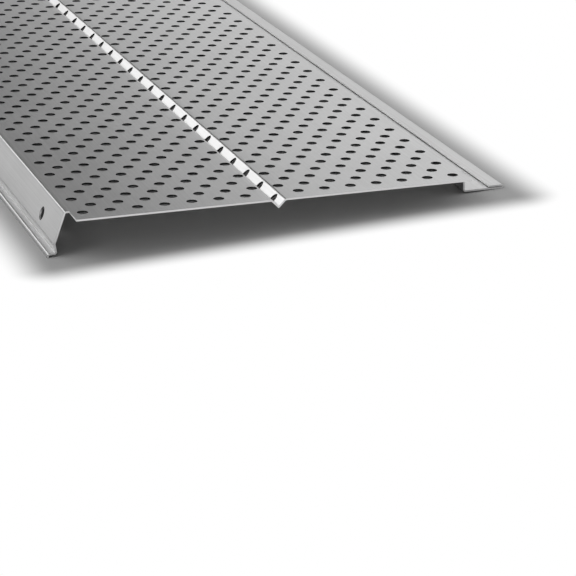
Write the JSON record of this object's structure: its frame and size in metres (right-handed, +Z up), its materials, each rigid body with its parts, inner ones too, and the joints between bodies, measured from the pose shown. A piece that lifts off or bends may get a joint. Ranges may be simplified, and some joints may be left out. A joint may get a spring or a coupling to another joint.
{
  "type": "gutter guard",
  "caption": "Perforated aluminium gutter guard sheet with a V groove, a screw wing and a hemmed shelf.",
  "frame": {"origin": "middle of the guard's footprint, on the floor that it lies on", "axes": "+Y along the guard away from its tongue end, +X from the screw wing to the hemmed shelf, +Z up"},
  "size_m": [0.1374, 1.2274, 0.0127],
  "materials": {
    "sheet": "mill"
  },
  "bodies": {
    "root": {"gutter_guard": "sheet"}
  },
  "joints": []
}
